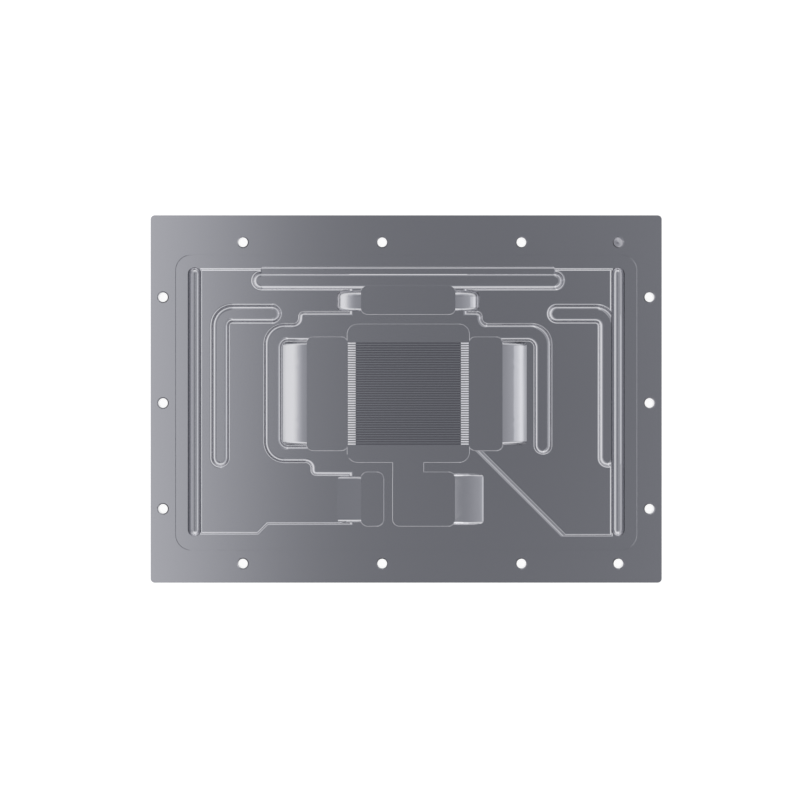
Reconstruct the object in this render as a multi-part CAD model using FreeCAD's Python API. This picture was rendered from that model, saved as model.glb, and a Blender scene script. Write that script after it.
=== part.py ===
# Cold plate of a graphics card water block: one slab of nickel-plated copper, machined on its coolant side.
# Millimetres. The plate lies flat, coolant side up. X runs along its length, Y across it and Z up.
# The origin is at the middle of the flat underside, the face that presses on the chip.
import FreeCAD, Part
import math
import os

Vector = FreeCAD.Vector

# Slab and its levels
plate_length = 153.0
plate_width = 110.0
plate_corner_radius = 1.2
land_height = 5.0          # top of the outer land, where the cover's flange seats
plateau_height = 7.0       # top of the raised island that fills the cover's chamber
pocket_floor = 3.2         # bottom of the five deep pockets
moat_floor = 4.3           # shallow recess around the fins
fin_top = 4.7              # top of the fins and of their pad
fin_slot_floor = 1.7
edge_radius = 0.25         # broken edge around the underside
rim_radius = 0.6           # rounded edge around the plateau and the slots cut into it
chamber_rim_radius = 0.35
rim_depth = 0.8            # height of the block that each rim is worked out on
land_rim_radius = 0.2      # the same edge around the pockets and the moat
land_rim_depth = 0.25
open_height = 1.0          # how far every cutter stands above the plateau

# Screw holes for the cover, M2.5 with medium clearance
screw_hole_diameter = 2.9
screw_hole_edge_break = 0.3
row_first_x = -48.9
row_pitch = 41.7
row_top_y = 46.95
row_bottom_y = -49.3
corner_hole_x = 63.55
column_x = 72.85
column_middle_y = -1.2
column_pitch = 31.7
blind_hole_depth = 2.6
drill_point_angle = 118.0

# Seal groove
seal_half_length = 69.15
seal_top_y = 43.2
seal_bottom_y = -45.3
seal_width = 2.0
seal_depth = 1.1
seal_corner_radius = 4.7

# Plateau outline
plateau_half_length = 61.4
plateau_top_y = 38.8
plateau_left_bottom_y = -40.2
plateau_right_bottom_y = -40.8
plateau_step_x = -44.4
plateau_step_y = -37.3
plateau_foot_radius = 0.5

# Round-bottomed troughs along both ends of the plateau
trough_radius = 2.0
trough_top_y = 39.45
trough_bottom_y = -41.1

# Slots run with a 5 mm bull-nose cutter
slot_width = 5.0
slot_foot_radius = 1.3
slot_bend_radius = 3.6
upper_slot_y = 35.4
upper_slot_left_x = -43.4
upper_slot_right_x = 44.4
upper_slot_floor = 4.2
notch_top_y = 39.7
notch_foot_radius = 0.9
notch_floor = 4.5
elbow_y = 25.5
elbow_end_y = -17.6
left_elbow_x = -55.6
left_elbow_tip_x = -40.1
right_elbow_x = 60.2
right_elbow_tip_x = 45.0

# Low chamber around the pockets, level with the land
chamber_foot_radius = 1.15
chamber_top_y = 26.0
chamber_shoulder_y = 22.4
chamber_left_x = -42.4
chamber_left_step_x = -32.0
chamber_right_step_x = 22.5
chamber_right_x = 43.35
chamber_big_radius = 6.0
chamber_step_radius = 1.4
chamber_bend_radius = 1.8
chamber_lower_y = -18.85
chamber_neck_x = -28.3
chamber_neck_y = -22.7
diagonal_sum = 6.8         # x + y along the slanting wall
right_channel_end_y = -13.85

# Second, slightly deeper cuts along the floors of the two side channels
channel_relief = 0.12
channel_relief_radius = 1.3
left_relief_top_y = 14.6
right_relief_top_y = 14.6
right_relief_bottom_y = -7.4
right_relief_spot_y = -12.9

# Pockets and the ramps that lead into them
pocket_corner_radius = 2.0
side_pocket_top_y = 18.5
side_pocket_bottom_y = -15.4
left_pocket_left_x = -29.8
right_pocket_right_x = 28.9
upper_pocket_left_x = -13.55
upper_pocket_right_x = 14.75
upper_pocket_bottom_y = 25.4
upper_pocket_top_y = 33.9
lower_pocket_top_y = -21.95
lower_pocket_bottom_y = -38.0
lower_left_pocket_left_x = -13.55
lower_left_pocket_right_x = -6.8
lower_right_pocket_left_x = -4.0
lower_right_pocket_right_x = 14.65
ramp_length = 7.1
long_ramp_length = 8.5
ramp_wall = 0.3            # wall left standing on each side of a ramp
ramp_side_radius = 1.2
upper_ramp_side_radius = 2.0
ramp_overlap = 0.5         # how far a ramp's cutter reaches into its pocket
ramp_foot_height = 0.25    # height of the ramp's foot above the pocket floor
ramp_foot_slope = 4.0      # degrees
side_ramp_bend = 0.6       # where along its length a ramp bends upwards, as a part of the length
upper_ramp_bend = 0.9
long_ramp_bend = 0.8
shelf_corner_radius = 1.5
pocket_overlap = 0.1       # how far the side pockets reach into the moat
wedge_left_x = -37.4
wedge_top_y = 17.45
wedge_bottom_y = -14.05
wedge_corner_radius = 2.0

# Fin field over the chip
moat_left_x = -17.6
moat_right_x = 18.85
moat_bottom_y = -18.9
moat_top_y = 22.35
moat_corner_radius = 3.0
moat_neck_left_x = -3.95
moat_neck_right_x = 5.15
fin_pad_left_x = -13.15
fin_pad_right_x = 14.2
fin_pad_bottom_y = -17.4
fin_pad_top_y = 20.6
fin_pad_corner_radius = 2.8
fin_slot_count = 43
fin_slot_pitch = 0.72
fin_slot_width = 0.42
fin_slot_middle_y = 1.6
fin_slot_end_slope = 33.0  # degrees; the slots rise to the pockets at both ends

cutter_top = plateau_height + open_height


def corner_arc(before, corner, after, radius):
    """Start, middle and end of the arc that rounds one corner."""
    to_before = (before - corner).normalize()
    to_after = (after - corner).normalize()
    half_angle = to_before.getAngle(to_after) / 2.0
    reach = radius / math.tan(half_angle)
    start = corner + to_before * reach
    end = corner + to_after * reach
    bisector = (to_before + to_after).normalize()
    centre = corner + bisector * (radius / math.sin(half_angle))
    middle = centre - bisector * radius
    return start, middle, end


def outline(corners, height):
    """Closed wire through (x, y, corner radius) points at one height."""
    points = [Vector(x, y, height) for x, y, radius in corners]
    count = len(points)
    stops = []
    for i, (x, y, radius) in enumerate(corners):
        if radius > 0:
            stops.append(corner_arc(points[i - 1], points[i], points[(i + 1) % count], radius))
        else:
            stops.append((points[i], None, points[i]))
    edges = []
    for i, (start, middle, end) in enumerate(stops):
        if middle is not None:
            edges.append(Part.Arc(start, middle, end).toShape())
        following = stops[(i + 1) % count][0]
        if end.distanceToPoint(following) > 1e-6:
            edges.append(Part.LineSegment(end, following).toShape())
    return Part.Wire(edges)


def prism(corners, low, high=cutter_top):
    """Upright block over an outline."""
    face = Part.Face(outline(corners, low))
    return face.extrude(Vector(0, 0, high - low))


def rectangle(left, right, bottom, top, radius=0):
    return [(left, bottom, radius), (right, bottom, radius), (right, top, radius), (left, top, radius)]


def obround(x1, y1, x2, y2, radius):
    """Straight slot outline between two end centres, along X or along Y."""
    left = min(x1, x2) - radius
    right = max(x1, x2) + radius
    bottom = min(y1, y2) - radius
    top = max(y1, y2) + radius
    return rectangle(left, right, bottom, top, radius)


def edges_at(shape, height):
    """Edges that lie wholly at one height."""
    level = []
    for edge in shape.Edges:
        box = edge.BoundBox
        if abs(box.ZMin - height) < 1e-4 and abs(box.ZMax - height) < 1e-4:
            level.append(edge)
    return level


def cutter(corners, floor, foot_radius):
    """Upright cutter whose lower edge is rounded, as a bull-nose tool leaves it."""
    body = prism(corners, floor)
    return body.makeFillet(foot_radius, edges_at(body, floor))


def elbow_slot(tip_x, bend_x):
    """Cutter for a slot that runs along X from its tip, bends, and runs down along Y."""
    half = slot_width / 2.0
    side = 1.0 if bend_x > tip_x else -1.0
    corners = [
        (tip_x - side * half, elbow_y + half, half),
        (tip_x - side * half, elbow_y - half, half),
        (bend_x - side * half, elbow_y - half, slot_bend_radius - half),
        (bend_x - side * half, elbow_end_y - half, half),
        (bend_x + side * half, elbow_end_y - half, half),
        (bend_x + side * half, elbow_y + half, slot_bend_radius + half),
    ]
    return cutter(corners, land_height, slot_foot_radius)


def rim_cutter(tool, level=plateau_height, radius=rim_radius, depth=rim_depth):
    """One cutter's opening at a level, flared so that it leaves a rounded edge there."""
    box = tool.BoundBox
    left = box.XMin - open_height
    front = box.YMin - open_height
    right = box.XMax + open_height
    back = box.YMax + open_height
    block = Part.makeBox(right - left, back - front, depth, Vector(left, front, level - depth))
    standing = []
    for solid in block.cut(tool).Solids:
        rims = []
        for edge in edges_at(solid, level):
            place = edge.CenterOfMass
            inside_x = left + 1e-3 < place.x < right - 1e-3
            inside_y = front + 1e-3 < place.y < back - 1e-3
            if inside_x and inside_y:
                rims.append(edge)
        standing.append(solid.makeFillet(radius, rims))
    return block.cut(standing)


def recess(left, right, bottom, top, floor, corner_radius):
    """Cutters for a recess in the land: its walls, its rounded edge and the room above that."""
    walls = prism(rectangle(left, right, bottom, top, corner_radius), floor)
    wide = land_rim_radius
    above = rectangle(left - wide, right + wide, bottom - wide, top + wide, corner_radius + wide)
    return [walls, rim_cutter(walls, land_height, land_rim_radius, land_rim_depth), prism(above, land_height)]


def make_slab():
    """The whole slab at plateau height, with its underside edge broken."""
    half_x = plate_length / 2.0
    half_y = plate_width / 2.0
    slab = prism(rectangle(-half_x, half_x, -half_y, half_y, plate_corner_radius), 0.0, plateau_height)
    return slab.makeFillet(edge_radius, edges_at(slab, 0.0))


def land_cutter():
    """Everything outside the plateau, down to the land, with a rounded foot along the plateau."""
    outside_x = plate_length / 2.0 + open_height
    outside_y = plate_width / 2.0 + open_height
    step_run = plateau_step_y - plateau_left_bottom_y
    plateau = [
        (-plateau_half_length, plateau_top_y, 0),
        (plateau_half_length, plateau_top_y, 0),
        (plateau_half_length, plateau_right_bottom_y, 0),
        (0, plateau_right_bottom_y, 0),
        (0, plateau_step_y, 0),
        (plateau_step_x + step_run, plateau_step_y, 0),
        (plateau_step_x, plateau_left_bottom_y, 0),
        (-plateau_half_length, plateau_left_bottom_y, 0),
    ]
    around = prism(rectangle(-outside_x, outside_x, -outside_y, outside_y), land_height)
    ring = around.cut(prism(plateau, land_height))
    inner = [edge for edge in edges_at(ring, land_height)
             if abs(edge.CenterOfMass.x) < outside_x - 0.1 and abs(edge.CenterOfMass.y) < outside_y - 0.1]
    return ring.makeFillet(plateau_foot_radius, inner)


def chamber_cutter():
    """The low chamber, with the left wedge standing in it."""
    half = slot_width / 2.0
    inside_right_pocket = (moat_right_x + right_pocket_right_x) / 2.0
    inside_left_pocket = (moat_left_x + left_pocket_left_x) / 2.0
    inside_lower_ramp = lower_left_pocket_left_x - ramp_length / 2.0
    inside_left_ramp = upper_pocket_left_x - ramp_length / 2.0
    inside_right_ramp = upper_pocket_right_x + ramp_length / 2.0
    below_plateau = plateau_right_bottom_y - plateau_foot_radius - chamber_foot_radius
    diagonal_top_y = side_pocket_bottom_y + pocket_corner_radius
    channel_left = chamber_right_x - slot_width
    channel_end = right_channel_end_y - half
    corners = [
        (chamber_left_step_x, chamber_top_y, chamber_step_radius),
        (inside_left_ramp, chamber_top_y, 0),
        (inside_left_ramp, upper_slot_y, 0),
        (inside_right_ramp, upper_slot_y, 0),
        (inside_right_ramp, chamber_top_y, 0),
        (chamber_right_step_x, chamber_top_y, chamber_step_radius),
        (chamber_right_step_x, chamber_shoulder_y, chamber_bend_radius),
        (chamber_right_x, chamber_shoulder_y, chamber_big_radius),
        (chamber_right_x, channel_end, half),
        (channel_left, channel_end, half),
        (channel_left, wedge_top_y, wedge_corner_radius),
        (inside_right_pocket, wedge_top_y, 0),
        (inside_right_pocket, diagonal_top_y, 0),
        (diagonal_sum - diagonal_top_y, diagonal_top_y, 0),
        (diagonal_sum - below_plateau, below_plateau, 0),
        (inside_lower_ramp, below_plateau, 0),
        (inside_lower_ramp, chamber_neck_y, 0),
        (chamber_neck_x, chamber_neck_y, chamber_step_radius),
        (chamber_neck_x, chamber_lower_y, chamber_bend_radius),
        (chamber_left_x, chamber_lower_y, chamber_big_radius),
        (chamber_left_x, chamber_shoulder_y, chamber_big_radius),
        (chamber_left_step_x, chamber_shoulder_y, chamber_bend_radius),
    ]
    wedge = prism([
        (wedge_left_x, wedge_bottom_y, wedge_corner_radius),
        (inside_left_pocket, wedge_bottom_y, 0),
        (inside_left_pocket, wedge_top_y, 0),
        (wedge_left_x, wedge_top_y, wedge_corner_radius),
    ], land_height)
    body = prism(corners, land_height).cut(wedge)
    return body.makeFillet(chamber_foot_radius, edges_at(body, land_height))


def relief_cutters():
    """Shallow second cuts in the channel floors, left by a tool that was set a little deeper."""
    floor = land_height - channel_relief
    radius = channel_relief_radius
    half = slot_width / 2.0
    left_x = chamber_left_x + half
    right_x = chamber_right_x - half
    wall_gap = half - radius
    run_bottom_y = chamber_lower_y + wall_gap
    run_top_y = side_pocket_bottom_y - wall_gap
    inside_moat = (moat_left_x + fin_pad_left_x) / 2.0
    left_run = [
        (left_x - radius, run_bottom_y, chamber_big_radius - wall_gap),
        (inside_moat, run_bottom_y, 0),
        (inside_moat, run_top_y, 0),
        (left_x + radius, run_top_y, wedge_corner_radius + wall_gap),
        (left_x + radius, left_relief_top_y + radius, radius),
        (left_x - radius, left_relief_top_y + radius, radius),
    ]
    right_run = obround(right_x, right_relief_top_y, right_x, right_relief_bottom_y, radius)
    right_spot = obround(right_x, right_relief_spot_y, right_x, right_channel_end_y, radius)
    return [prism(corners, floor) for corners in (left_run, right_run, right_spot)]


def between(start, end, share):
    """Point on the line from one point to another."""
    return start + (end - start) * share


def ramp(foot_x, top_x, top_z, y_range, bend, side_radii):
    """Scooped ramp up from a pocket's floor: gentle at its foot, with rounded sides."""
    side = 1.0 if top_x > foot_x else -1.0
    bottom_y, top_y = y_range
    start = Vector(foot_x - side * ramp_overlap, bottom_y, pocket_floor + ramp_foot_height)
    end = Vector(top_x, bottom_y, top_z)
    bend_run = bend * (end.x - start.x)
    turn = start + Vector(bend_run, 0, abs(bend_run) * math.tan(math.radians(ramp_foot_slope)))
    share = 1.0
    past = end
    while past.z < top_z + open_height:
        share = share + 0.05
        past = between(between(start, turn, share), between(turn, end, share), share)
    curve = Part.BezierCurve()
    curve.setPoles([start, between(start, turn, share), past])
    lid = Vector(start.x, bottom_y, past.z)
    profile = Part.Wire([
        curve.toShape(),
        Part.LineSegment(past, lid).toShape(),
        Part.LineSegment(lid, start).toShape(),
    ])
    body = Part.Face(profile).extrude(Vector(0, top_y - bottom_y, 0))
    for y, radius in zip(y_range, side_radii):
        edges = []
        for edge in body.Edges:
            box = edge.BoundBox
            upright = box.ZMax - box.ZMin > 1e-3
            sloping = box.XMax - box.XMin > 1e-3
            if upright and sloping and abs(edge.CenterOfMass.y - y) < 1e-3:
                edges.append(edge)
        body = body.makeFillet(radius, edges)
    return body


def shelf(foot_x, end_x, y_range):
    """Gently sloping shelf beside a pocket, with upright walls and rounded feet along its sides."""
    bottom_y, top_y = y_range
    side = 1.0 if end_x > foot_x else -1.0
    start_x = foot_x - side * ramp_overlap
    run = end_x - start_x
    foot_z = pocket_floor + ramp_foot_height
    radius = ramp_side_radius
    walls = prism([
        (min(start_x, end_x), bottom_y, shelf_corner_radius if side < 0 else 0),
        (max(start_x, end_x), bottom_y, shelf_corner_radius if side > 0 else 0),
        (max(start_x, end_x), top_y, shelf_corner_radius if side > 0 else 0),
        (min(start_x, end_x), top_y, shelf_corner_radius if side < 0 else 0),
    ], pocket_floor)
    inset = radius * (1.0 - math.sqrt(0.5))
    low = Vector(start_x, bottom_y, foot_z)
    across = Vector(0, top_y - bottom_y, 0)
    rise = Vector(0, 0, radius)
    height = Vector(0, 0, cutter_top + open_height - foot_z)
    inward = Vector(0, radius, 0)
    near_knee = low + Vector(0, inset, inset)
    far_knee = low + across + Vector(0, -inset, inset)
    section = Part.Wire([
        Part.Arc(low + rise, near_knee, low + inward).toShape(),
        Part.LineSegment(low + inward, low + across - inward).toShape(),
        Part.Arc(low + across - inward, far_knee, low + across + rise).toShape(),
        Part.LineSegment(low + across + rise, low + across + height).toShape(),
        Part.LineSegment(low + across + height, low + height).toShape(),
        Part.LineSegment(low + height, low + rise).toShape(),
    ])
    slope = math.tan(math.radians(ramp_foot_slope))
    past = run * 1.5
    bar = Part.Face(section).extrude(Vector(past, 0, abs(past) * slope))
    return walls.common(bar)


def pocket_cutters():
    """The five deep pockets."""
    bounds = [
        (left_pocket_left_x, moat_left_x + pocket_overlap, side_pocket_bottom_y, side_pocket_top_y),
        (moat_right_x - pocket_overlap, right_pocket_right_x, side_pocket_bottom_y, side_pocket_top_y),
        (upper_pocket_left_x, upper_pocket_right_x, upper_pocket_bottom_y, upper_pocket_top_y),
        (lower_left_pocket_left_x, lower_left_pocket_right_x, lower_pocket_bottom_y, lower_pocket_top_y),
        (lower_right_pocket_left_x, lower_right_pocket_right_x, lower_pocket_bottom_y, lower_pocket_top_y),
    ]
    pockets = []
    for left, right, bottom, top in bounds:
        pockets.extend(recess(left, right, bottom, top, pocket_floor, pocket_corner_radius))
    return pockets


def ramp_cutters():
    """The ramps that climb from the pockets to the plateau, and the lower left pocket's shelf."""
    slot_edge_y = upper_slot_y - slot_width / 2.0
    side_y = (wedge_bottom_y + ramp_wall, wedge_top_y - ramp_wall)
    upper_y = (chamber_top_y + ramp_wall, slot_edge_y - ramp_wall)
    lower_y = (plateau_step_y + ramp_wall, chamber_neck_y - ramp_wall)
    even = (ramp_side_radius, ramp_side_radius)
    uneven = (ramp_side_radius, upper_ramp_side_radius)
    feet = [
        (left_pocket_left_x, -ramp_length, side_y, side_ramp_bend, even),
        (right_pocket_right_x, ramp_length, side_y, side_ramp_bend, even),
        (upper_pocket_left_x, -ramp_length, upper_y, upper_ramp_bend, uneven),
        (upper_pocket_right_x, ramp_length, upper_y, upper_ramp_bend, uneven),
    ]
    ramps = []
    for foot_x, run, y_range, bend, side_radii in feet:
        ramps.append(ramp(foot_x, foot_x + run, plateau_height, y_range, bend, side_radii))
    foot_x = lower_left_pocket_left_x
    ramps.append(shelf(foot_x, foot_x - ramp_length, lower_y))
    return ramps


def long_ramp():
    """The sixth ramp climbs only to the land."""
    foot_x = lower_right_pocket_right_x
    y_range = (lower_pocket_bottom_y + ramp_wall, lower_pocket_top_y - ramp_wall)
    side_radii = (ramp_side_radius, ramp_side_radius)
    return ramp(foot_x, foot_x + long_ramp_length, land_height, y_range, long_ramp_bend, side_radii)


def fin_cutters():
    """The shallow moat, the pad of the fins and the slots between the fins."""
    moat, moat_rim, moat_room = recess(moat_left_x, moat_right_x, moat_bottom_y, moat_top_y,
                                       moat_floor, moat_corner_radius)
    inside_pocket_y = lower_pocket_top_y - pocket_corner_radius
    inside_moat_y = (moat_bottom_y + fin_pad_bottom_y) / 2.0
    neck = recess(moat_neck_left_x, moat_neck_right_x, inside_pocket_y, inside_moat_y, moat_floor, 0)
    pad_outline = rectangle(fin_pad_left_x, fin_pad_right_x, fin_pad_bottom_y, fin_pad_top_y, fin_pad_corner_radius)
    ring = moat.cut(prism(pad_outline, moat_floor))
    slope = math.tan(math.radians(fin_slot_end_slope))
    left_x = moat_left_x + pocket_overlap
    right_x = moat_right_x - pocket_overlap
    depth = pocket_floor - fin_slot_floor
    lift = fin_top + open_height - pocket_floor
    slots = []
    for i in range(fin_slot_count):
        y = fin_slot_middle_y + (i - (fin_slot_count - 1) / 2.0) * fin_slot_pitch - fin_slot_width / 2.0
        corners = [
            Vector(left_x - lift / slope, y, pocket_floor + lift),
            Vector(left_x + depth / slope, y, fin_slot_floor),
            Vector(right_x - depth / slope, y, fin_slot_floor),
            Vector(right_x + lift / slope, y, pocket_floor + lift),
        ]
        profile = Part.Face(Part.makePolygon(corners + [corners[0]]))
        slots.append(profile.extrude(Vector(0, fin_slot_width, 0)))
    over_pad = prism(pad_outline, fin_top)
    return [ring, over_pad, moat_rim, moat_room] + neck, slots


def seal_cutter():
    """Groove for the seal cord, a rounded rectangle around the plateau."""
    floor = land_height - seal_depth
    outer = rectangle(-seal_half_length, seal_half_length, seal_bottom_y, seal_top_y, seal_corner_radius)
    inner = rectangle(-seal_half_length + seal_width, seal_half_length - seal_width,
                      seal_bottom_y + seal_width, seal_top_y - seal_width, seal_corner_radius - seal_width)
    return prism(outer, floor).cut(prism(inner, floor))


def notch_cutter():
    """Step along the upper slot, run past the plateau's edge; only its outer wall has a rounded foot."""
    body = prism(rectangle(upper_slot_left_x, upper_slot_right_x, upper_slot_y, notch_top_y), notch_floor)
    outer = [edge for edge in edges_at(body, notch_floor) if edge.BoundBox.YMin > notch_top_y - 1e-3]
    return body.makeFillet(notch_foot_radius, outer)


def trough_cutter(x):
    """Cut of a ball-nose tool along one end of the plateau."""
    low_y = trough_bottom_y + trough_radius
    high_y = trough_top_y - trough_radius
    length = high_y - low_y
    bar = Part.makeCylinder(trough_radius, length, Vector(x, low_y, land_height), Vector(0, 1, 0))
    body = bar.fuse([
        Part.makeSphere(trough_radius, Vector(x, low_y, land_height)),
        Part.makeSphere(trough_radius, Vector(x, high_y, land_height)),
        Part.makeCylinder(trough_radius, open_height + plateau_height - land_height,
                          Vector(x, low_y, land_height)),
        Part.makeCylinder(trough_radius, open_height + plateau_height - land_height,
                          Vector(x, high_y, land_height)),
        prism(rectangle(x - trough_radius, x + trough_radius, low_y, high_y), land_height),
    ])
    return body.removeSplitter()


def screw_hole_cutter(x, y, bottom):
    """Clearance hole with a broken upper edge; a blind one ends in a drill point."""
    radius = screw_hole_diameter / 2.0
    wide = radius + screw_hole_edge_break
    edge_z = land_height - screw_hole_edge_break
    top = land_height + open_height
    points = [(0, top), (wide, top), (wide, land_height), (radius, edge_z), (radius, bottom)]
    if bottom > 0:
        points.append((0, bottom - radius / math.tan(math.radians(drill_point_angle / 2.0))))
    else:
        points.append((0, bottom))
    corners = [Vector(x + r, y, z) for r, z in points]
    profile = Part.Face(Part.makePolygon(corners + [corners[0]]))
    return profile.revolve(Vector(x, y, 0), Vector(0, 0, 1), 360)


def screw_hole_cutters():
    through = -open_height
    holes = []
    for i in range(3):
        x = row_first_x + i * row_pitch
        holes.append(screw_hole_cutter(x, row_top_y, through))
        holes.append(screw_hole_cutter(x, row_bottom_y, through))
    for x in (-column_x, column_x):
        for i in (-1, 0, 1):
            holes.append(screw_hole_cutter(x, column_middle_y + i * column_pitch, through))
    holes.append(screw_hole_cutter(corner_hole_x, row_bottom_y, through))
    holes.append(screw_hole_cutter(corner_hole_x, row_top_y, land_height - blind_hole_depth))
    return holes


def make_plate():
    upper_slot = cutter(obround(upper_slot_left_x, upper_slot_y, upper_slot_right_x, upper_slot_y,
                                slot_width / 2.0), upper_slot_floor, slot_foot_radius)
    notch = notch_cutter()
    left_elbow = elbow_slot(left_elbow_tip_x, left_elbow_x)
    right_elbow = elbow_slot(right_elbow_tip_x, right_elbow_x)
    fin_steps, fin_slots = fin_cutters()
    trough_x = plateau_half_length + trough_radius
    slots = [land_cutter(), upper_slot, notch, left_elbow, right_elbow]
    chamber = chamber_cutter()
    chamber_rim = rim_cutter(chamber, plateau_height, chamber_rim_radius)
    cuts = [
        ("through the plateau", slots + [chamber]),
        ("rims", [rim_cutter(tool) for tool in slots] + [chamber_rim]),
        ("ramps", ramp_cutters()),
        ("troughs", [trough_cutter(-trough_x), trough_cutter(trough_x)]),
        ("seal groove", [seal_cutter()]),
        ("pockets", pocket_cutters() + [long_ramp()]),
        ("channel reliefs", relief_cutters()),
        ("fin steps", fin_steps),
        ("screw holes", screw_hole_cutters()),
    ]
    slab = make_slab()
    for name, tools in cuts:
        for tool in tools:
            slab = slab.cut(tool)
        print(name, slab.isValid(), len(slab.Solids), round(slab.Volume, 1))
    slab = slab.removeSplitter().cut(fin_slots)
    print("fins", slab.isValid(), len(slab.Solids), len(slab.Faces), round(slab.Volume, 1))
    return slab


if __name__ == "__main__":
    os.makedirs("parts", exist_ok=True)
    plate = make_plate()
    plate.exportStep("parts/cold_plate.step")
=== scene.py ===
# %% [markdown]
# # A cold plate in satin nickel
# The object is one slab of copper, machined on one side and plated with nickel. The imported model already
# holds every wall, ramp and fin at its real place, so this lesson is about finish and light, not about
# modelling.

# %% Load the plate
import bpy
import math
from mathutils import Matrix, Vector


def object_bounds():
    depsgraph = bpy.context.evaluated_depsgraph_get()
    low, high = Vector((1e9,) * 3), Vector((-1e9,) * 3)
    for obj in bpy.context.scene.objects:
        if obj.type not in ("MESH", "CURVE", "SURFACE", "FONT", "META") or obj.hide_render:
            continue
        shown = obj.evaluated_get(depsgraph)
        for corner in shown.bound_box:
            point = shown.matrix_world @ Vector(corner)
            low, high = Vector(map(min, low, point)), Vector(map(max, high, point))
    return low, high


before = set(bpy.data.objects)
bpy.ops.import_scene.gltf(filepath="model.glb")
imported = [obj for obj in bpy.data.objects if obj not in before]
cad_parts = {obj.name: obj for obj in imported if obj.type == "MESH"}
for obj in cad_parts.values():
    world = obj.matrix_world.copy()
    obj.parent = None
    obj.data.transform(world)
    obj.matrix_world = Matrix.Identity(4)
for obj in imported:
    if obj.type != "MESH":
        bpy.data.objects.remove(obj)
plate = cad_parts["cold_plate"]
plate_low, plate_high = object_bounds()
print("plate", len(plate.data.polygons), "faces,", [round(v * 1000, 2) for v in plate_high - plate_low], "mm")

# %% [markdown]
# ## Smooth where the cutter ran round, sharp at the edges
# A milled wall meets its floor in a small round, and both halves of that round should shade as one surface,
# while the edge of a pocket stays crisp. Blender could guess this from the angle between faces, but the
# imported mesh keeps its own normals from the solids, which already do it. So all that is left to do here is to
# look at them.

# %% Look at the plate's faces
flat_faces = sum(1 for polygon in plate.data.polygons if not polygon.use_smooth)
print("plate has", len(plate.data.vertices), "vertices and", flat_faces, "flat faces")

# %% [markdown]
# ## Satin nickel
# Nickel plate over milled copper is a cool grey metal with a soft gloss. A Principled shader with full
# metallic and a low roughness is the plain way to make it. The roughness matters more than the colour: a
# rougher plate would lose its dark and bright lines, a smoother one would show the lamp as a hard patch.
#
# The floors of the narrow slots between the fins get a darker base colour. This is painted shade, standing in
# for the light that the fins around them hold off. Their faces
#  could be given a second material, but the imported mesh stays as it is, so a mask picks them out instead:
#  faces that lie at the slots' depth and look straight up.

# %% Say what the nickel is like
NICKEL_COLOUR = (0.635, 0.635, 0.66, 1.0)
NICKEL_ROUGHNESS = 0.12
# Painted shade: the darker base colour that the slot floors get in place of the shade between the fins.
SLOT_SHADE_COLOUR = (0.39, 0.39, 0.42, 1.0)
SLOT_FLOOR = plate_low.z + 0.0017
SLOT_MARGIN = 0.00003
SLOT_FACING = 0.9

print("slot floors at", round(SLOT_FLOOR * 1000, 2), "mm, roughness", NICKEL_ROUGHNESS)


# %% A helper for small sums in node trees
def math_node(tree, operation, first, second=0.0):
    """One math node; each input is a socket or a plain number."""
    node = tree.nodes.new("ShaderNodeMath")
    node.operation = operation
    for socket, value in zip(node.inputs, (first, second)):
        if hasattr(value, "is_linked"):
            tree.links.new(value, socket)
        else:
            socket.default_value = value
    return node.outputs[0]


def axis_part(tree, vector, axis):
    """One axis of a vector socket."""
    split = tree.nodes.new("ShaderNodeSeparateXYZ")
    tree.links.new(vector, split.inputs[0])
    return split.outputs[axis]


def mix_colours(tree, share, first, second):
    """The first colour where share is 0, the second where it is 1."""
    mix = tree.nodes.new("ShaderNodeMix")
    mix.data_type = "RGBA"
    first_socket, second_socket = [socket for socket in mix.inputs if socket.type == "RGBA"]
    first_socket.default_value = first
    second_socket.default_value = second
    tree.links.new(share, mix.inputs[0])
    return [socket for socket in mix.outputs if socket.type == "RGBA"][0]


print("helpers ready")


# %% Make the nickel
def make_nickel():
    nickel = bpy.data.materials.new("satin_nickel")
    nickel.use_nodes = True
    tree = nickel.node_tree
    shader = tree.nodes["Principled BSDF"]
    shader.inputs["Base Color"].default_value = NICKEL_COLOUR
    shader.inputs["Metallic"].default_value = 1.0
    shader.inputs["Roughness"].default_value = NICKEL_ROUGHNESS
    surface = tree.nodes.new("ShaderNodeNewGeometry")
    height = axis_part(tree, surface.outputs["Position"], "Z")
    facing = axis_part(tree, surface.outputs["Normal"], "Z")
    # Painted shade on the slot floors: faces at the slots' depth that look up get the darker colour.
    deep = math_node(tree, "LESS_THAN", height, SLOT_FLOOR + SLOT_MARGIN)
    upward = math_node(tree, "GREATER_THAN", facing, SLOT_FACING)
    slot_shade_mask = math_node(tree, "MULTIPLY", deep, upward)
    tone = mix_colours(tree, slot_shade_mask, NICKEL_COLOUR, SLOT_SHADE_COLOUR)
    tree.links.new(tone, shader.inputs["Base Color"])
    return nickel


nickel = make_nickel()
plate.data.materials.clear()
plate.data.materials.append(nickel)
print("material", nickel.name)

# %% [markdown]
# ## A white sheet
# In the photograph the plate lies on plain white, and white shows through its screw holes. The sheet could be
# made white by more light, but that would wash out the metal. Here it glows instead, only for the camera and
# for what the metal mirrors, so it sends no light of its own onto the plate.

# %% Lay the white sheet
SHEET_SIZE = 3.0

bpy.ops.mesh.primitive_plane_add(size=SHEET_SIZE, location=(0, 0, plate_low.z))
floor = bpy.context.object
floor.name = "white_sheet"
print("sheet at", round(plate_low.z * 1000, 2), "mm")

# %% Paint the sheet
SHEET_COLOUR = (0.3, 0.3, 0.3, 1.0)
SHEET_ROUGHNESS = 0.9
SHEET_GLOW_COLOUR = (1.0, 1.0, 1.0, 1.0)
SHEET_GLOW = 0.92


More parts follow.
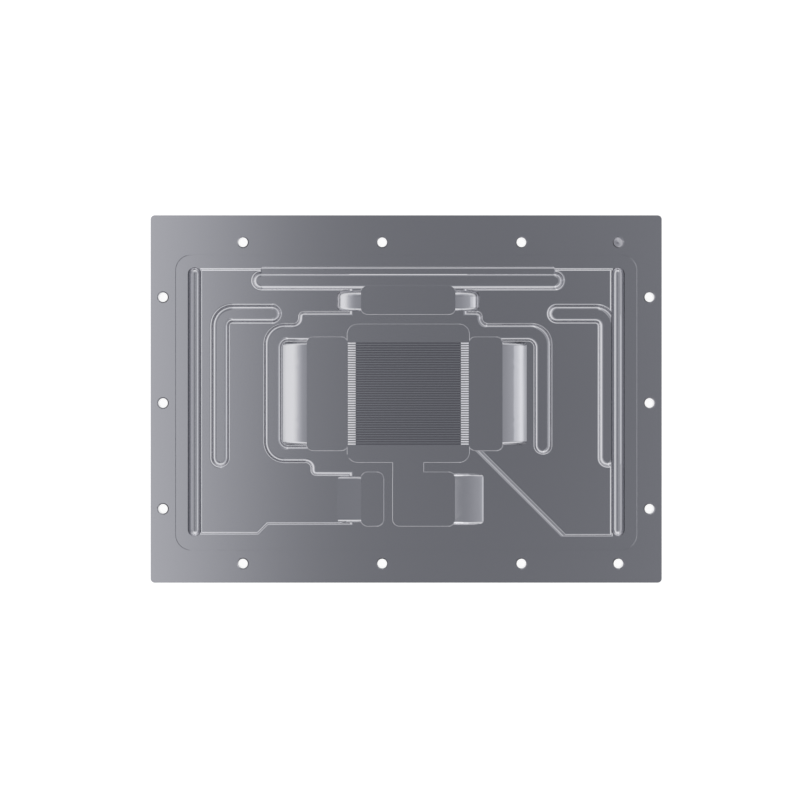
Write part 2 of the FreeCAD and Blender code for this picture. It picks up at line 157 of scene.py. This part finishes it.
def make_white_sheet():
    sheet = bpy.data.materials.new("white_sheet")
    sheet.use_nodes = True
    tree = sheet.node_tree
    shader = tree.nodes["Principled BSDF"]
    shader.inputs["Base Color"].default_value = SHEET_COLOUR
    shader.inputs["Roughness"].default_value = SHEET_ROUGHNESS
    shader.inputs["Emission Color"].default_value = SHEET_GLOW_COLOUR
    rays = tree.nodes.new("ShaderNodeLightPath")
    seen = rays.outputs["Is Camera Ray"]
    for name in ("Is Glossy Ray", "Is Transmission Ray"):
        seen = math_node(tree, "MAXIMUM", seen, rays.outputs[name])
    glow = math_node(tree, "MULTIPLY", seen, SHEET_GLOW)
    tree.links.new(glow, shader.inputs["Emission Strength"])
    return sheet


floor.data.materials.append(make_white_sheet())
print("sheet painted, glow", SHEET_GLOW)

# %% [markdown]
# ## Looking straight down
# The photograph shows no side of the plate, only its face, and its left and right screw holes are seen just
# as straight as the middle ones. So the camera hangs far above, almost a metre up, with a long lens. A wide
# lens from nearby would fill the picture as well, but it would show the insides of the outer holes.

# %% Hang the camera
CAMERA_DISTANCE = 0.87
PHOTO_CENTRE = (-0.00186, -0.0003)
FOCAL_LENGTH = 130.0
SENSOR_WIDTH = 36.0
NEAREST_SEEN = 0.05
FARTHEST_SEEN = 10.0

camera_data = bpy.data.cameras.new("camera")
camera_data.lens = FOCAL_LENGTH
camera_data.sensor_width = SENSOR_WIDTH
camera_data.clip_start = NEAREST_SEEN
camera_data.clip_end = FARTHEST_SEEN
camera = bpy.data.objects.new("camera", camera_data)
camera.location = (PHOTO_CENTRE[0], PHOTO_CENTRE[1], CAMERA_DISTANCE)
bpy.context.scene.collection.objects.link(camera)
bpy.context.scene.camera = camera
print("camera", round(CAMERA_DISTANCE * 1000), "mm up,", FOCAL_LENGTH, "mm lens")

# %% [markdown]
# ## One soft lamp
# Most of the light comes from the room that is built last. A lamp could do all of it, but on bare metal one
# lamp is one bright patch and darkness round it. So this one is wide and weak, and only gives the plate a lit
# side from the left wall.

# %% Hang the soft lamp
LAMP_PLACE = (-1.5, 0.0, 0.65)
LAMP_TARGET = (0.0, 0.0, 0.0)
LAMP_WIDTH = 0.4
LAMP_HEIGHT = 1.4
LAMP_BRIGHTNESS = 0.25


# A panel's radiance is its power over pi and its area, so the panel is given by how bright it looks.
def soft_lamp():
    lamp_data = bpy.data.lights.new("left_wall", "AREA")
    lamp_data.shape = "RECTANGLE"
    lamp_data.size = LAMP_WIDTH
    lamp_data.size_y = LAMP_HEIGHT
    lamp_data.energy = LAMP_BRIGHTNESS * math.pi * LAMP_WIDTH * LAMP_HEIGHT
    lamp = bpy.data.objects.new("left_wall", lamp_data)
    lamp.location = LAMP_PLACE
    towards = Vector(LAMP_TARGET) - Vector(LAMP_PLACE)
    lamp.rotation_euler = towards.to_track_quat("-Z", "Y").to_euler()
    bpy.context.scene.collection.objects.link(lamp)
    return lamp


print("lamp hung,", round(soft_lamp().data.energy, 3), "W")

# %% [markdown]
# ## The room
# Bare metal looks like whatever stands round it, so a good room does more for it than any lamp. It could be
# built from many glowing panels, but their edges would show in every rounded rim. Here the room is painted on
# the world instead. It is dim overhead, so the flats stay mid grey, and grows bright towards its walls, which
# the ramps and rims pick up.
#
# Four short curves say how bright it looks to the right, to the left, behind and in front, each against the
# angle from straight up, and between them the room blends by direction. A soft strip just left of straight up
# makes the flats fade from light at the left to darker at the right. Dim parts are a little bluer than bright
# ones, as the flats of the photograph are bluer than its ramps.

# %% Say how bright the room is
# Each stop is an angle from straight up, in degrees, and how bright the room looks there.
RIGHT_CURVE = [
    (0, 0.225), (2, 0.205), (5, 0.26), (10, 0.35), (20, 0.45), (34, 0.7), (45, 0.95), (56, 1.06), (78, 1.04),
    (90, 0.45), (100, 0.1)]
LEFT_CURVE = [
    (0, 0.225), (6, 0.225), (11, 0.34), (18, 0.42), (40, 0.53), (53, 0.62), (62, 0.75), (69, 0.85),
    (82, 0.42), (92, 0.2), (102, 0.1)]
BACK_CURVE = [(0, 0.225), (20, 0.27), (35, 0.45), (55, 1.0), (72, 1.15), (82, 0.7), (92, 0.2), (102, 0.1)]
FRONT_CURVE = [(0, 0.225), (20, 0.27), (35, 0.45), (55, 0.85), (66, 1.0), (76, 0.5), (88, 0.12), (100, 0.08)]
ROOM_BRIGHTEST = 1.25
DIM_TINT = (0.9, 0.93, 1.05, 1.0)
BRIGHT_TINT = (1.0, 1.0, 1.0, 1.0)

print("brightest wall", max(stop[1] for stop in RIGHT_CURVE + LEFT_CURVE + BACK_CURVE + FRONT_CURVE))

# %% Say where the strip hangs
# A direction's x part is 0 straight up and -1 at the left.
STRIP_PLACE = -0.1
STRIP_SPREAD = 0.065
STRIP_GLOW = 0.62

print("strip", round(math.degrees(math.asin(-STRIP_PLACE)), 1), "degrees left of straight up")

# %% A brightness curve as a node
HALF_TURN = 180.0


def curve_node(tree, angle, stops):
    """Brightness against the angle from straight up, which comes in as a part of a half turn."""
    node = tree.nodes.new("ShaderNodeFloatCurve")
    points = node.mapping.curves[0].points
    for degrees, brightness in stops[1:]:
        point = points.new(degrees / HALF_TURN, brightness / ROOM_BRIGHTEST)
        point.handle_type = "AUTO_CLAMPED"
    points[0].location = (0.0, stops[0][1] / ROOM_BRIGHTEST)
    points[len(points) - 1].location = (1.0, stops[-1][1] / ROOM_BRIGHTEST)
    node.mapping.update()
    tree.links.new(angle, node.inputs["Value"])
    return node.outputs[0]


print("curves have", [len(curve) for curve in (RIGHT_CURVE, LEFT_CURVE, BACK_CURVE, FRONT_CURVE)], "stops")


# %% Blend the four walls
# The share of each wall is the square of how far a direction points its way. The small number keeps
# straight up from dividing nothing by nothing.
NEXT_TO_NOTHING = 1e-9


def wall_glow(tree, angle, reach_x, reach_y):
    square_x = math_node(tree, "MULTIPLY", reach_x, reach_x)
    square_y = math_node(tree, "MULTIPLY", reach_y, reach_y)
    both = math_node(tree, "ADD", math_node(tree, "ADD", square_x, square_y), NEXT_TO_NOTHING)
    total = 0.0
    walls = (
        (reach_x, square_x, (RIGHT_CURVE, LEFT_CURVE)),
        (reach_y, square_y, (BACK_CURVE, FRONT_CURVE)),
    )
    for reach, square, curves in walls:
        share = math_node(tree, "DIVIDE", square, both)
        for sign, curve in zip((1.0, -1.0), curves):
            facing = math_node(tree, "GREATER_THAN", math_node(tree, "MULTIPLY", reach, sign), 0.0)
            glow = math_node(tree, "MULTIPLY", curve_node(tree, angle, curve), facing)
            total = math_node(tree, "ADD", math_node(tree, "MULTIPLY", glow, share), total)
    return math_node(tree, "MULTIPLY", total, ROOM_BRIGHTEST)


def strip_glow(tree, reach_x):
    from_strip = math_node(tree, "ABSOLUTE", math_node(tree, "SUBTRACT", reach_x, STRIP_PLACE))
    fade = math_node(tree, "SUBTRACT", 1.0, math_node(tree, "DIVIDE", from_strip, STRIP_SPREAD))
    return math_node(tree, "MULTIPLY", math_node(tree, "MAXIMUM", fade, 0.0), STRIP_GLOW)


print("walls and strip ready")


# %% Build the room
def build_room():
    world = bpy.data.worlds.new("room")
    bpy.context.scene.world = world
    world.use_nodes = True
    tree = world.node_tree
    background = tree.nodes["Background"]
    direction = tree.nodes.new("ShaderNodeTexCoord").outputs["Generated"]
    tilt = math_node(tree, "ARCCOSINE", axis_part(tree, direction, "Z"))
    angle = math_node(tree, "DIVIDE", tilt, math.pi)
    reach_x = axis_part(tree, direction, "X")
    walls = wall_glow(tree, angle, reach_x, axis_part(tree, direction, "Y"))
    strength = math_node(tree, "ADD", walls, strip_glow(tree, reach_x))
    tint = mix_colours(tree, strength, DIM_TINT, BRIGHT_TINT)
    tree.links.new(tint, background.inputs["Color"])
    tree.links.new(strength, background.inputs["Strength"])
    return len(tree.nodes)


print("room built from", build_room(), "nodes")

# %% Show colours as they are written
bpy.context.scene.view_settings.view_transform = "Standard"
print("view", bpy.context.scene.view_settings.view_transform)
